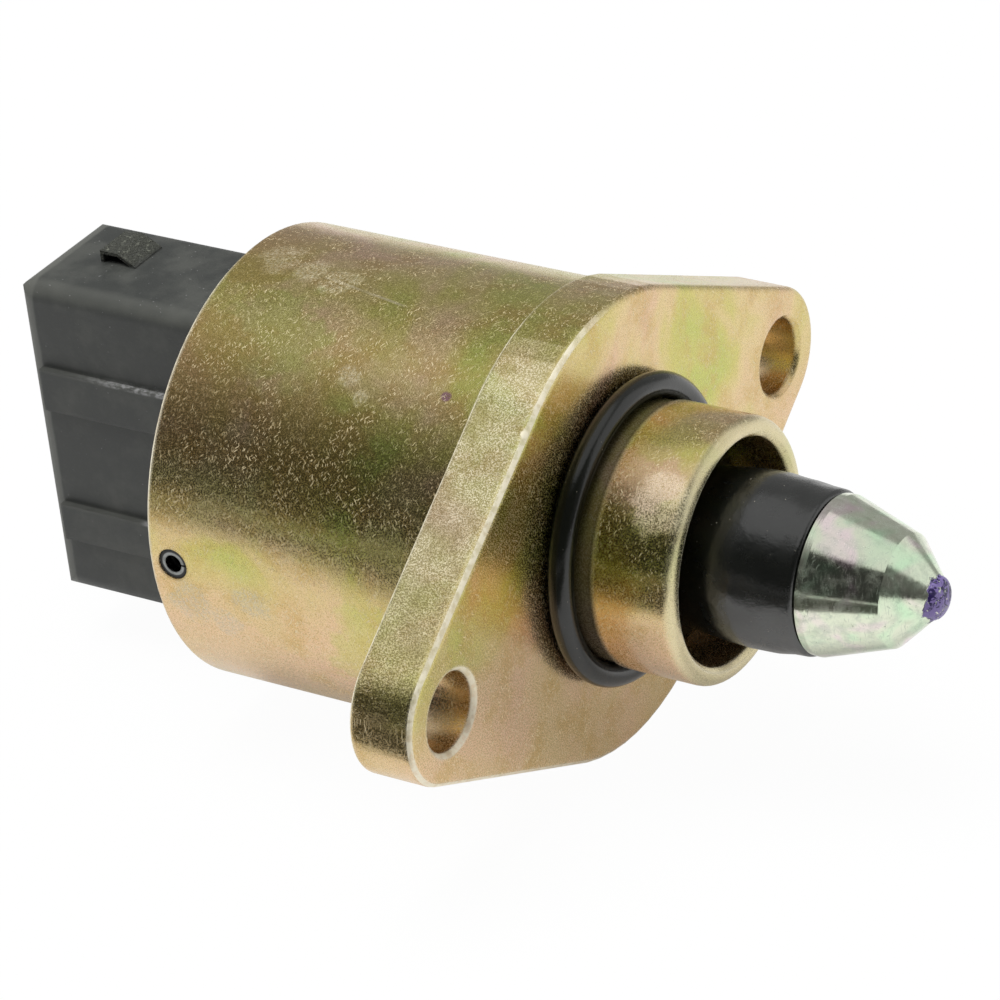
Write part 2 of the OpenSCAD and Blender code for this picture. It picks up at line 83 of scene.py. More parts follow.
def srgb(red: int, green: int, blue: int) -> Colour:
    """Turns a screen colour into scene light.

    Args:
        red, green, blue: Its channels, from 0 to 255.

    Returns:
        The linear colour.
    """

    def linear(value: int) -> float:
        """Returns one channel as linear light."""
        share = value / 255
        return share / 12.92 if share <= 0.04045 else ((share + 0.055) / 1.055) ** 2.4

    return linear(red), linear(green), linear(blue)


class Signal:
    """A socket of a material, with the operators of shader maths."""

    def __init__(self, sheet: "Sheet", socket: bpy.types.NodeSocket) -> None:
        """Wraps a socket.

        Args:
            sheet: The material sheet that the socket lies on.
            socket: The output socket.
        """
        self.sheet = sheet
        self.socket = socket

    def maths(self, operation: Maths, *values: "Signal | float") -> "Signal":
        """Adds one Math node.

        Args:
            operation: The operation of the Math node.
            *values: Its inputs, in order.

        Returns:
            The result.
        """
        inputs = dict(enumerate(values))
        return self.sheet.node("ShaderNodeMath", {"operation": operation.value}, inputs)

    def __add__(self, other: "Signal | float") -> "Signal":
        """Returns the sum."""
        return self.maths(Maths.ADD, self, other)

    __radd__ = __add__

    def __sub__(self, other: "Signal | float") -> "Signal":
        """Returns the difference."""
        return self.maths(Maths.SUBTRACT, self, other)

    def __rsub__(self, other: float) -> "Signal":
        """Returns the difference with this signal taken away."""
        return self.maths(Maths.SUBTRACT, other, self)

    def __mul__(self, other: "Signal | float") -> "Signal":
        """Returns the product."""
        return self.maths(Maths.MULTIPLY, self, other)

    __rmul__ = __mul__

    def __truediv__(self, other: "Signal | float") -> "Signal":
        """Returns the quotient."""
        return self.maths(Maths.DIVIDE, self, other)

    def __pow__(self, other: float) -> "Signal":
        """Returns the power."""
        return self.maths(Maths.POWER, self, other)

    def also(self, out: str) -> "Signal":
        """Returns another output of the same node.

        Args:
            out: Name of the output.

        Returns:
            That output.
        """
        return Signal(self.sheet, self.socket.node.outputs[out])

    def larger(self, other: "Signal | float") -> "Signal":
        """Returns the larger of this signal and another."""
        return self.maths(Maths.MAXIMUM, self, other)

    def hypot(self, other: "Signal") -> "Signal":
        """Returns the distance from zero of this signal and one at right angles to it."""
        return (self * self + other * other) ** 0.5

    def size(self) -> "Signal":
        """Returns the value without its sign."""
        return self.maths(Maths.ABSOLUTE, self)

    def between(self, low: float, high: float) -> "Signal":
        """Returns a soft step.

        Args:
            low: Value at which the step starts, where the result is 0.
            high: Value at which the step ends, where the result is 1.

        Returns:
            The step, from 0 to 1.
        """
        settings = {"interpolation_type": "SMOOTHSTEP"}
        inputs = {"Value": self, "From Min": low, "From Max": high}
        if low > high:
            inputs = {"Value": self, "From Min": high, "From Max": low, "To Min": 1.0, "To Max": 0.0}
        return self.sheet.node("ShaderNodeMapRange", settings, inputs)


Axes = tuple[Signal, Signal, Signal]


class Sheet:
    """The node sheet of one material."""

    def __init__(self, name: str) -> None:
        """Makes an empty material.

        Args:
            name: Name of the material.
        """
        self.material = bpy.data.materials.new(name)
        self.material.use_nodes = True
        self.tree = self.material.node_tree
        self.tree.nodes.clear()
        self._place: Signal | None = None
        self._flat: Signal | None = None

    def node(self, kind: str, settings: dict | None = None, inputs: dict | None = None,
             out: str | int = 0) -> Signal:
        """Adds any node.

        Args:
            kind: The node's type.
            settings: Its settings, set before its sockets. A ramp's stops are a list of
                (place, colour) under the key "stops".
            inputs: Values or signals by socket name or number.
            out: Name or number of the output wanted.

        Returns:
            That output.
        """
        made = self.tree.nodes.new(kind)
        for key, value in (settings or {}).items():
            if key == "stops":
                self._set_stops(made.color_ramp, value)
            else:
                setattr(made, key, value)
        for key, value in (inputs or {}).items():
            self._set(made.inputs[key], value)
        return Signal(self, made.outputs[out])

    def _set(self, socket: bpy.types.NodeSocket, value: "Signal | float | Sequence[float]") -> None:
        """Links a signal to a socket, or writes a value into it."""
        if isinstance(value, Signal):
            self.tree.links.new(value.socket, socket)
        elif socket.type == "RGBA" and len(value) == 3:
            socket.default_value = (*value, 1.0)
        else:
            socket.default_value = value

    @staticmethod
    def _set_stops(ramp: bpy.types.ColorRamp, stops: Sequence[tuple[float, Colour]]) -> None:
        """Writes the stops of a colour ramp."""
        while len(ramp.elements) < len(stops):
            ramp.elements.new(1.0)
        for element, (place, colour) in zip(ramp.elements, stops):
            element.position = place
            element.color = (*colour, 1.0)

    @property
    def place(self) -> Signal:
        """The place on the piece, in metres."""
        if self._place is None:
            self._place = self.node("ShaderNodeTexCoord", out="Object")
        return self._place

    def axes(self) -> Axes:
        """Returns the place split along the three axes, in millimetres."""
        scaled = self.stretched(IN_MM)
        split = [self.node("ShaderNodeSeparateXYZ", inputs={0: scaled}, out=axis) for axis in "XYZ"]
        return split[0], split[1], split[2]

    def lean(self) -> Signal:
        """Returns how far the surface faces along the axis, from 0 to 1."""
        normal = self.node("ShaderNodeTexCoord", out="Normal")
        return self.node("ShaderNodeSeparateXYZ", inputs={0: normal}, out="X").size()

    def unrolled(self) -> Signal:
        """Returns the place laid flat, in millimetres: along and round the axis, or across an end face."""
        if self._flat is None:
            along, across, up = self.axes()
            turned = across.hypot(up) * up.maths(Maths.ARCTAN, up, across)
            lean = self.lean()
            face = lean.maths(Maths.GREATER, lean, 0.8)
            first = face * across + (1 - face) * along
            second = face * up + (1 - face) * turned
            self._flat = self.node("ShaderNodeCombineXYZ", None, {0: first, 1: second, 2: 50 * face})
        return self._flat

    def scratches(self, length: float, width: float, count: int, share: float, seed: float = 0,
                  fan: float = 180) -> Signal:
        """Returns short straight scratches that lie in the surface in many directions.

        Args:
            length: Length of the cell that holds one scratch, in millimetres.
            width: Width of that cell, in millimetres.
            count: Number of directions.
            share: Share of the cell that the scratch takes.
            seed: Direction of the first of them, from the axis of the valve, in degrees.
            fan: Angle over which their directions are spread, in degrees.

        Returns:
            The mask of the scratches.
        """
        marks = []
        for number in range(count):
            angle = math.radians(seed + fan * number / count + 5 * (number % 3))
            where = self.node("ShaderNodeMapping", {"vector_type": "TEXTURE"}, {
                "Vector": self.unrolled(), "Location": (3.7 * number, 1.9 * number, 0),
                "Rotation": (0, 0, angle), "Scale": (length, width, 1)})
            near = self.node("ShaderNodeTexVoronoi", {"voronoi_dimensions": "2D"},
                             {"Vector": where, "Scale": 1.0}, "Distance")
            chance = self.node("ShaderNodeSeparateColor", None, {0: near.also("Color")}, "Red")
            marks.append(near.between(share, 0.5 * share) * chance.between(0.3, 1))
        return reduce(Signal.larger, marks)

    def spot(self, centre: Sequence[float], radius: float, ragged: float, noise: Signal) -> Signal:
        """Returns a ragged patch round a place on the piece.

        Args:
            centre: Middle of the patch, in millimetres.
            radius: Its radius, in millimetres.
            ragged: How far noise eats into it, as a share of the radius.
            noise: That noise.

        Returns:
            The mask.
        """
        middle = tuple(value * MM for value in centre)
        away = self.node("ShaderNodeVectorMath", {"operation": "DISTANCE"},
                         {0: self.place, 1: middle}, "Value")
        reach = away * (1000 / radius) + 4 * ragged * (noise - 0.5)
        return reach.between(1, 0.6)

    def soft_normal(self, radius: float) -> Signal:
        """Returns the normal rounded over the edges.

        Args:
            radius: Radius of the rounding, in millimetres.

        Returns:
            The normal.
        """
        return self.node("ShaderNodeBevel", {"samples": 3}, {"Radius": radius * MM})

    def stretched(self, scale: Sequence[float], turn: Sequence[float] = (0, 0, 0)) -> Signal:
        """Returns the place turned and stretched.

        Args:
            scale: Factor along each axis.
            turn: Turn about each axis, in degrees.

        Returns:
            The new vector.
        """
        angles = tuple(math.radians(angle) for angle in turn)
        return self.node("ShaderNodeMapping", {"vector_type": "TEXTURE"}, {
            "Vector": self.place, "Rotation": angles,
            "Scale": tuple(1 / factor for factor in scale)})

    def cloud(self, grain: float, detail: float = 3, rough: float = 0.55,
              where: Signal | None = None, warp: float = 0) -> Signal:
        """Returns a soft noise from 0 to 1.

        Args:
            grain: Size of its blotches, in millimetres, or 1 on a stretched place.
            detail: Number of finer octaves.
            rough: Strength of the finer octaves.
            where: The place to read, if not the piece's own.
            warp: How far the noise is pulled about.

        Returns:
            The noise.
        """
        return self.node("ShaderNodeTexNoise", None, {
            "Vector": where or self.stretched(IN_MM), "Scale": 1 / grain, "Detail": detail,
            "Roughness": rough, "Distortion": warp})

    def handled(self) -> Signal:
        """Returns the faint straight scratches of handling, in two directions."""
        marks = []
        for length, width, turn, low in ((2.2, 0.07, (0, 24, 8), 0.7), (1.4, 0.06, (0, 112, 80), 0.71)):
            where = self.stretched((1000 / length, 1000 / width, 1000 / width), turn)
            marks.append(self.cloud(1, 1, 0.4, where).between(low, low + 0.06))
        return reduce(Signal.larger, marks)

    def mix(self, factor: Signal | float, first: Signal | Colour, second: Signal | Colour) -> Signal:
        """Lays a second colour over a first.

        Args:
            factor: Share of the second colour.
            first: The colour below.
            second: The colour above.

        Returns:
            The joined colour.
        """
        settings = {"data_type": "RGBA", "blend_type": "MIX", "clamp_factor": True}
        return self.node("ShaderNodeMix", settings, {0: factor, 6: first, 7: second}, 2)

    def layered(self, colour: Signal | Colour, *layers: tuple[Signal, Signal | Colour]) -> Signal:
        """Lays colours over a first, one after another.

        Args:
            colour: The colour below.
            *layers: A share and a colour for each layer.

        Returns:
            The joined colour.
        """
        for share, tint in layers:
            colour = self.mix(share, colour, tint)
        return colour

    def ramp(self, factor: Signal, stops: Sequence[tuple[float, Colour]]) -> Signal:
        """Returns a colour read from stops along a factor.

        Args:
            factor: Where to read, from 0 to 1.
            stops: Each stop's place and colour.

        Returns:
            The colour.
        """
        return self.node("ShaderNodeValToRGB", {"stops": stops}, {0: factor})

    def bump(self, height: Signal, depth: float, strength: float = 1,
             below: Signal | None = None) -> Signal:
        """Returns a normal bent by a height.

        Args:
            height: The height, from 0 to 1.
            depth: What a height of 1 measures, in millimetres.
            strength: Share of the effect.
            below: A bump to add this one to.

        Returns:
            The normal.
        """
        inputs = {"Height": height, "Distance": depth * MM, "Strength": strength}
        if below is not None:
            inputs["Normal"] = below
        return self.node("ShaderNodeBump", None, inputs)

    def edge_wear(self, soft: Signal, low: float, high: float) -> Signal:
        """Returns a mask of the sharp edges.

        Args:
            soft: The normal rounded over the edges.
            low: Bend at which wear begins.
            high: Bend at which it is full.

        Returns:
            The mask.
        """
        normal = self.node("ShaderNodeNewGeometry", out="Normal")
        dot = self.node("ShaderNodeVectorMath", {"operation": "DOT_PRODUCT"}, {0: soft, 1: normal},
                        "Value")
        return (1 - dot).between(low, high)

    def surface(self, **inputs: "Signal | float | Sequence[float]") -> bpy.types.Material:
        """Ends the sheet with the main shader.

        Args:
            **inputs: Socket values by name, with spaces written as underscores.

        Returns:
            The material.
        """
        shader = self.tree.nodes.new("ShaderNodeBsdfPrincipled")
        for key, value in inputs.items():
            self._set(shader.inputs[key.replace("_", " ")], value)
        end = self.tree.nodes.new("ShaderNodeOutputMaterial")
        self.tree.links.new(shader.outputs[0], end.inputs["Surface"])
        return self.material


@dataclass(frozen=True)
class YellowZinc:
    """Yellow chromate over zinc: tan and olive with rainbow patches and a field of fine scratches, some
    laid pale as painted glints, with painted highlights on the edges, the nose and the flange's flat side,
    and painted shade in the groove behind the seal ring.

    A cast is its centre, radius, colour and share, and a haze patch its centre and radius, in millimetres.
    """

    tan: Colour = srgb(230, 206, 154)
    olive: Colour = srgb(212, 202, 122)
    green: Colour = srgb(196, 204, 112)
    rose: Colour = srgb(230, 194, 162)
    brown: Colour = srgb(206, 172, 108)
    dark: Colour = srgb(150, 132, 66)
    # The next colour is bare zinc in the long scratch and the pale of the painted glints.
    bare: Colour = srgb(255, 242, 206)
    # The next colour is the white of the worn edges, the painted edge highlights and the painted highlight
    # on the flange's flat side.
    white: Colour = srgb(255, 247, 224)
    haze: Colour = srgb(212, 216, 206)
    # The next colour is the pale of the painted highlight on the nose.
    rubbed: Colour = srgb(255, 240, 218)
    rim: Colour = srgb(214, 208, 170)
    violet: Colour = srgb(150, 90, 150)
    # The next colour is painted shade for the groove behind the seal ring.
    groove_shade: Colour = srgb(30, 28, 16)
    highlit_flat_side: Place = (0, -0.568, 0.823)
    sag_start: float = 5.0
    sag_reach: float = 3.6
    sag_depth: float = 0.3
    casts: tuple[tuple[Place, float, Colour, float], ...] = (
        ((-22, -7.5, 14.2), 5, green, 0.55), ((-26, -11, 11.5), 6, brown, 0.6),
        ((-16, -13, 9), 6, brown, 0.5), ((-22, -14, -8), 6, rose, 0.5),
        ((-10, -15, -4), 5, green, 0.4), ((-26, 0, 16), 5, brown, 0.5),
        ((5.5, -5, 8), 3.4, rose, 0.8), ((5.5, -7.8, -5), 3, rose, 0.6),
        ((5.5, -2, 9), 2.4, olive, 0.6), ((-7.1, -9, 13.4), 0.5, violet, 0.7))
    haze_patches: tuple[tuple[Place, float], ...] = (
        ((-24.8, -0.8, 16), 2.1), ((-22.2, -1.4, 16), 1.7), ((-19.6, -1.9, 16), 1.7),
        ((-14.6, -9, 13.4), 1.1), ((-13.2, -10.2, 12.5), 0.8), ((-20, -16, -1.9), 1.8),
        ((-25, -15.6, -3), 2.2), ((-22.5, -15.6, -4), 1.6), ((0, 12.7, 14.4), 1.0))

    def chromate(self, sheet: Sheet, where: Axes, wide: Signal, grain: Signal) -> Signal:
        """Returns the colours of the film itself.

        Args:
            sheet: The sheet.
            where: The place along the axes, in millimetres.
            wide: Noise that eats into the casts.
            grain: Noise of the dark grain.

        Returns:
            The colour.
        """
        along, across, up = where
        colour = sheet.ramp(sheet.cloud(8, 3, 0.5, warp=0.6), [
            (0.32, self.rose), (0.45, self.tan), (0.56, self.olive), (0.7, self.green)])
        band = up.between(10, 6) * up.between(2.5, 5) * across.between(0, -8) * along.between(0, -5)
        colour = sheet.layered(
            colour, (0.7 * up.between(3, -3), self.rose), (0.5 * band, self.green),
            (0.6 * sheet.cloud(3, 4, 0.6).between(0.44, 0.68), self.brown))
        for centre, radius, tint, share in self.casts:
            colour = sheet.mix(share * sheet.spot(centre, radius, 0.4, wide), colour, tint)
        return sheet.mix(0.5 * grain.between(0.52, 0.4), colour, self.dark)

    @staticmethod
    def worn_and_highlit_edges(sheet: Sheet, where: Axes, soft: Signal, narrow: Signal, groove_shade: Signal) -> Signal:
        """Returns the mask of the edges laid bright: rubbed wear, and a painted edge highlight on the near
        side.

        Args:
            sheet: The sheet.
            where: The place along the axes, in millimetres.
            soft: The normal rounded over the edges.
            narrow: Noise that breaks the wear up.
            groove_shade: Mask of the painted shade in the groove behind the seal ring, which has no wear.

        Returns:
            The mask.
        """
        along, across, up = where
        lean = sheet.lean()
        # Painted edge highlight: the slanted chamfers and fillets of the flange and can rim are laid
        # bright; the whole mask is kept to the near side and clear of the pin hole.
        slant = lean.between(0.3, 0.55) * lean.between(0.95, 0.85) * along.between(0.6, 0.3)
        burr = sheet.spot((-0.1, -10.6, 12.9), 0.5, 0.2, narrow)
        from_pin = (along - PIN_X).hypot(up)
        wear = sheet.edge_wear(soft, 0.015, 0.1).larger(slant * (0.6 + 0.4 * narrow.between(0.4, 0.56)))
        return wear.larger(burr) * (1 - groove_shade) * from_pin.between(1.3, 1.5) * across.between(3, -5)

    def build(self) -> bpy.types.Material:
        """Returns the material."""
        sheet = Sheet("yellow_zinc")
        where = sheet.axes()
        along, across, up = where
        wide, narrow = sheet.cloud(2.2, 4, 0.65), sheet.cloud(0.6, 3, 0.65)
        grain = sheet.cloud(0.1, 2, 0.6)
        # Painted glints: fine scratches, turned mostly round the can, are laid pale, less metallic and
        # rougher so they stand bright as glints.
        sparse = sheet.cloud(3, 3).between(0.36, 0.66)
        fine = sheet.scratches(0.9, 0.2, 4, 0.15, 40, 120) * (0.35 + 0.65 * sparse)
        marks = sheet.scratches(3.2, 0.5, 4, 0.08, 50, 120) * (0.4 + 0.6 * sparse)
        glint = fine.larger(marks)
        hatch = fine.between(0, 0.5).larger(grain.between(0.5, 0.62))
        # Painted highlight: the flange's flat side that faces up toward the bright top of the tent is laid
        # near white, hatched and less metallic, brighter higher up.
        facing = sheet.node("ShaderNodeVectorMath", {"operation": "DOT_PRODUCT"}, {
            0: sheet.node("ShaderNodeTexCoord", out="Normal"), 1: self.highlit_flat_side}, "Value")
        side = facing.between(0.93, 0.99) * along.between(-4.85, -4.6) * along.between(0.1, -0.1)
        side = side * (0.25 + 0.75 * hatch) * (0.4 + 0.6 * wide.between(0.3, 0.6))
        patches = reduce(Signal.larger, [sheet.spot(centre, radius, 0.45, wide)
                                         for centre, radius in self.haze_patches])
        scuffs = narrow.between(0.76, 0.8).larger(patches * sheet.cloud(0.18, 2, 0.7).between(0.3, 0.75))
        # Painted shade: the groove between the seal ring and the nose is laid dark, dull and rough.
        groove_shade = along.between(0.5, 1.2) * along.between(3.3, 2.7) * across.hypot(up).between(9.34, 9.3)
        soft = sheet.soft_normal(0.35)
        wear = self.worn_and_highlit_edges(sheet, where, soft, narrow, groove_shade)
        # Painted highlight: a pale, less metallic, rougher patch on the nose where the light catches it.
        rubbed = sheet.spot((7.2, -6.2, 6.8), 2.8, 0.3, wide) * grain.between(0.2, 0.7)
        line = (across + 1.77 + 0.172 * (along + 21.8)).size().between(0.16, 0.06)
        line = line * along.between(-22.5, -21) * along.between(-13, -14.5) * up.between(14, 15)
        colour = sheet.layered(
            self.chromate(sheet, where, wide, grain), (0.7 * glint, self.bare), (0.4 * scuffs, self.haze),
            (0.6 * rubbed, self.rubbed), (0.7 * along.between(8, 8.7), self.rim),
            (0.5 * line * narrow.between(0.3, 0.55), self.bare),
            (0.7 * side * (0.5 + 0.5 * up.between(2, 10)), self.white), (0.9 * wear, self.white),
            (0.85 * groove_shade, self.groove_shade))
        rough = 0.15 + 0.05 * narrow + 0.2 * scuffs + (0.32 + 0.25 * rubbed) * grain.between(0.48, 0.64)
        rough = rough.maths(Maths.MINIMUM, rough + 0.3 * glint + 0.2 * wear, 0.6)
        dull = reduce(Signal.larger, (0.7 * wear, 0.8 * groove_shade, 0.6 * glint, 0.35 * scuffs, 0.6 * side,
                                      0.5 * rubbed))
        normal = sheet.bump(grain, 0.006, 1, soft)
        normal = sheet.bump(sheet.cloud(0.8, 3, 0.6), 0.015, 0.5, normal)
        sag = (along - self.sag_start).larger(0) / self.sag_reach
        normal = sheet.bump(1 - sag * sag, self.sag_depth, 1, normal)
        return sheet.surface(Base_Color=colour, Metallic=1 - dull, Roughness=rough, Normal=normal)


@dataclass(frozen=True)
class ClearZinc:
    """Bright clear zinc with a faint green and pink cast, turned rings and a dab of paint."""

    base: Colour = srgb(222, 228, 206)
    green: Colour = srgb(206, 234, 200)
    pink: Colour = srgb(238, 222, 222)
    paint: Colour = srgb(124, 108, 166)
    blot: Colour = srgb(40, 28, 78)
    tarnish: Colour = srgb(150, 168, 160)
    pit: Colour = srgb(120, 124, 110)
    brushed: Colour = srgb(150, 160, 140)
    paint_x: float = 23.45

    def build(self) -> bpy.types.Material:
        """Returns the material."""
        sheet = Sheet("clear_zinc")
        along = sheet.axes()[0]
        cast = sheet.cloud(2.6, 1, 0.4, warp=0.8)
        colour = sheet.ramp(cast, [
            (0.3, self.pink), (0.46, self.base), (0.54, self.base), (0.72, self.green)])
        rings = sheet.cloud(1, 2, 0.5, sheet.stretched((9000, 260, 260)))
        pits = sheet.cloud(0.25, 2, 0.6).between(0.66, 0.76)
        mottle = sheet.cloud(1.1, 5, 0.7).between(0.42, 0.7).larger(
            sheet.scratches(1.6, 0.16, 3, 0.2, 70, 50))
        ragged = along + 1.3 * (sheet.cloud(0.9, 3, 0.6) - 0.5)
        chips = sheet.cloud(0.3, 2, 0.5).between(0.62, 0.68)
        paint = ragged.between(self.paint_x, self.paint_x + 0.1) * (1 - 0.8 * chips)
        blots = sheet.cloud(0.6, 3, 0.7, warp=1).between(0.5, 0.56)
        streak = sheet.cloud(1, 3, 0.6, sheet.stretched((260, 1500, 1500))).between(0.5, 0.75)
        colour = sheet.layered(
            colour, (0.4 * pits, self.pit), (0.3 * mottle, self.tarnish),
            (paint, sheet.mix(blots, self.paint, self.blot)), (0.25 * streak, self.brushed))
        normal = sheet.bump(rings, 0.012, 0.6)
        normal = sheet.bump(sheet.cloud(0.5, 3, 0.55), 0.01, 0.35, normal)
        normal = sheet.bump(paint, 0.05, 0.8, normal)
        rough = 0.09 + 0.08 * sheet.cloud(0.8, 3) + 0.26 * paint + 0.2 * pits + 0.12 * mottle
        metal = 1 - (0.85 * paint).larger(0.16 * mottle)
        return sheet.surface(Base_Color=colour, Metallic=metal, Roughness=rough, Normal=normal)


@dataclass(frozen=True)
class Metal:
    """A bare metal with turning or pressing marks."""

    name: str
    colour: Colour
    rough: float = 0.3
    grain: float = 0.5
    stain: float = 0.25

    def build(self) -> bpy.types.Material:
        """Returns the material."""
        sheet = Sheet(self.name)
        stains = sheet.cloud(2.5, 4, 0.6)
        dark = tuple(0.55 * channel for channel in self.colour)
        colour = sheet.mix(self.stain * stains.between(0.4, 0.7), self.colour, dark)
        fine = sheet.cloud(1, 2, 0.5, sheet.stretched((1000 / self.grain, 9000, 9000)))
        normal = sheet.bump(fine, 0.008, 0.5)
        rough = self.rough - 0.06 + 0.14 * fine
        return sheet.surface(Base_Color=colour, Metallic=1.0, Roughness=rough, Normal=normal)


@dataclass(frozen=True)
class PinSteel:
    """Rolled spring steel: bright at the lip of its bore, with painted shade round its outside and deep
    inside its bore.
    """

    steel: Colour = srgb(140, 142, 140)
    stain_and_shade_black: Colour = srgb(22, 22, 20)
    pin_x: float = PIN_X

    def build(self) -> bpy.types.Material:
        """Returns the material."""
        sheet = Sheet("pin_steel")
        along, across, up = sheet.axes()
        radius = (along - self.pin_x).hypot(up)
        # Painted shade: the outer rim, where the pin meets its hole, and the deep inside of its bore are
        # laid black, dull and rough.
        pin_shade = radius.between(0.84, 0.92).larger(across.size().between(15.5, 14.9))
        stains = sheet.cloud(0.4, 4, 0.6).between(0.4, 0.65)
        colour = sheet.layered(self.steel, (0.3 * stains, self.stain_and_shade_black), (0.94 * pin_shade, self.stain_and_shade_black))
        normal = sheet.bump(sheet.cloud(0.15, 3, 0.6), 0.01, 0.6, sheet.soft_normal(0.12))
        return sheet.surface(Base_Color=colour, Metallic=1 - 0.8 * pin_shade, Roughness=0.24 + 0.3 * pin_shade,
                             Normal=normal)


@dataclass(frozen=True)
class Rubber:
    """Black moulded rubber with a soft uneven sheen and a few dust specks."""

    name: str
    colour: Colour = srgb(12, 14, 11)
    rough: float = 0.2
    lumps: float = 0.06
    shine: float = 1.1
    dust: Colour = srgb(186, 178, 160)

    def build(self) -> bpy.types.Material:
        """Returns the material."""
        sheet = Sheet(self.name)
        worn = sheet.cloud(1.6, 4, 0.62).between(0.42, 0.7)
        grey = tuple(1.8 * channel for channel in self.colour)
        dust = sheet.cloud(0.14, 0, 0.5).between(0.87, 0.885)
        colour = sheet.layered(self.colour, (0.4 * worn, grey), (0.6 * dust, self.dust))
        rough = self.rough + 0.12 * sheet.cloud(0.9, 4, 0.6) + 0.3 * dust
        normal = sheet.bump(sheet.cloud(1.1, 4, 0.55), self.lumps, 0.8)
        normal = sheet.bump(sheet.cloud(0.2, 3, 0.6), 0.02, 0.5, normal)
        return sheet.surface(Base_Color=colour, Roughness=rough, Specular_IOR_Level=self.shine,
                             Normal=normal)


@dataclass(frozen=True)
class Plastic:
    """Moulded plastic with a fine spark-eroded grain, faint scratches and dulled edges."""

    name: str
    colour: Colour
    rough: float = 0.5
    grain_depth: float = 0.012

    def build(self) -> bpy.types.Material:
        """Returns the material."""
        sheet = Sheet(self.name)
        pale = tuple(min(1.0, 1.9 * channel + 0.01) for channel in self.colour)
        rubbed = sheet.cloud(3.5, 5, 0.6).between(0.45, 0.75)
        wear = sheet.edge_wear(sheet.soft_normal(0.3), 0.05, 0.4)
        colour = sheet.layered(
            self.colour, (0.22 * rubbed, pale), (0.4 * wear, pale), (0.3 * sheet.handled(), pale))
        grain = sheet.cloud(0.12, 2, 0.6)
        rough = self.rough - 0.05 + 0.12 * grain + 0.1 * rubbed
        normal = sheet.bump(grain, self.grain_depth, 0.7)
        normal = sheet.bump(sheet.cloud(4, 2, 0.5), 0.05, 0.3, normal)
        return sheet.surface(Base_Color=colour, Roughness=rough, Normal=normal)


@dataclass(frozen=True)
class PlugPlastic:
    """Dark moulded plastic of the connector, with painted highlights on its rounded rear end, its near top
    edge and its rib tops, scuffs on the ribs and a pale grainy latch.
    """

    colour: Colour = srgb(52, 54, 52)
    pale: Colour = srgb(96, 97, 92)
    scuffed: Colour = srgb(150, 150, 150)
    grey: Colour = srgb(112, 114, 104)
    rear_x: float = -44.7
    near_y: float = -5.25
    rib_tops: tuple[float, float] = (6.05, -4.95)
    latch: Place = (-39.4, 1.1, 13.2)

    def build(self) -> bpy.types.Material:
        """Returns the material."""
        sheet = Sheet("plug_plastic")
        along, across, up = sheet.axes()
        cloudy = sheet.cloud(3.5, 5, 0.6).between(0.4, 0.7)
        # Painted highlight: the top of the near long edge is laid pale.
        near_top_highlight = up.between(11.3, 12) * across.between(self.near_y + 1.5, self.near_y + 0.7)
        # Painted reflection: a pale band over the rounded rear end, where it turns toward the white
        # behind.
        rim = (along + 0.25 * (sheet.cloud(1.5, 2) - 0.5)).between(self.rear_x + 1.15, self.rear_x + 0.85)
        soft = sheet.soft_normal(0.35)
        edge = sheet.edge_wear(soft, 0.03, 0.3)
        colour = sheet.layered(
            self.colour, (0.4 * cloudy, self.pale), (0.45 * near_top_highlight, self.pale), (0.75 * rim, self.pale),
            (0.35 * edge, self.pale))
        for number, top in enumerate(self.rib_tops):
            # Rib tops: scuffs, and a painted highlight along each top edge.
            rib_scuff_and_highlight = (up - top).size().between(0.3, 0.08)
            rib_scuff_and_highlight = rib_scuff_and_highlight * across.between(self.near_y + 0.05, self.near_y - 0.1)
            cut = sheet.cloud(0.5, 4, 0.7).between(0.36, 0.6) * along.between(-42 + 5 * number, -36)
            colour = sheet.mix(rib_scuff_and_highlight * (0.4 + 0.6 * cut), colour, sheet.mix(cut, self.pale, self.scuffed))
        nub = sheet.spot(self.latch, 2.2, 0.2, cloudy) * up.between(12.6, 12.8)
        crumbs = sheet.cloud(0.3, 4, 0.75).between(0.35, 0.65)
        specks = sheet.cloud(0.16, 0, 0.5).between(0.84, 0.86)
        colour = sheet.layered(
            colour, (nub * (0.35 + 0.65 * crumbs), self.grey), (0.5 * specks, self.scuffed),
            (0.25 * sheet.handled(), self.pale))
        grain = sheet.cloud(0.12, 2, 0.6)
        rough = 0.44 + 0.12 * grain + 0.1 * cloudy + 0.15 * nub
        normal = sheet.bump(grain, 0.014, 0.7, soft)
        normal = sheet.bump(crumbs * nub, 0.25, 1, normal)
        normal = sheet.bump(sheet.cloud(4, 2, 0.5), 0.05, 0.3, normal)
        return sheet.surface(Base_Color=colour, Roughness=rough, Normal=normal)


class Finishes:
    """All finishes of the valve, made once."""

    def __init__(self) -> None:
        """Makes the materials."""
        self.zinc = YellowZinc().build()
        self.tip = ClearZinc().build()
        self.steel = Metal("bright_steel", srgb(188, 190, 192), 0.24).build()
        self.pin = PinSteel().build()
        self.pole = Metal("pole_steel", srgb(168, 170, 172), 0.36, 1.2).build()
        self.bronze = Metal("bronze", srgb(190, 146, 88), 0.4, 0.3).build()
        self.copper = Metal("copper_wire", srgb(190, 104, 64), 0.3, 0.2, 0.4).build()
        self.tinned = Metal("tinned_copper", srgb(202, 202, 194), 0.28, 0.8).build()
        self.ferrite = Metal("ferrite", srgb(70, 71, 74), 0.45, 0.4).build()
        self.boot = Rubber("boot_rubber", lumps=0.05).build()
        self.ring = Rubber("ring_rubber", srgb(14, 16, 11), 0.14, 0.015, 0.6).build()
        self.plug = PlugPlastic().build()
        self.pale = Plastic("pale_plastic", srgb(214, 206, 186), 0.42, 0.006).build()


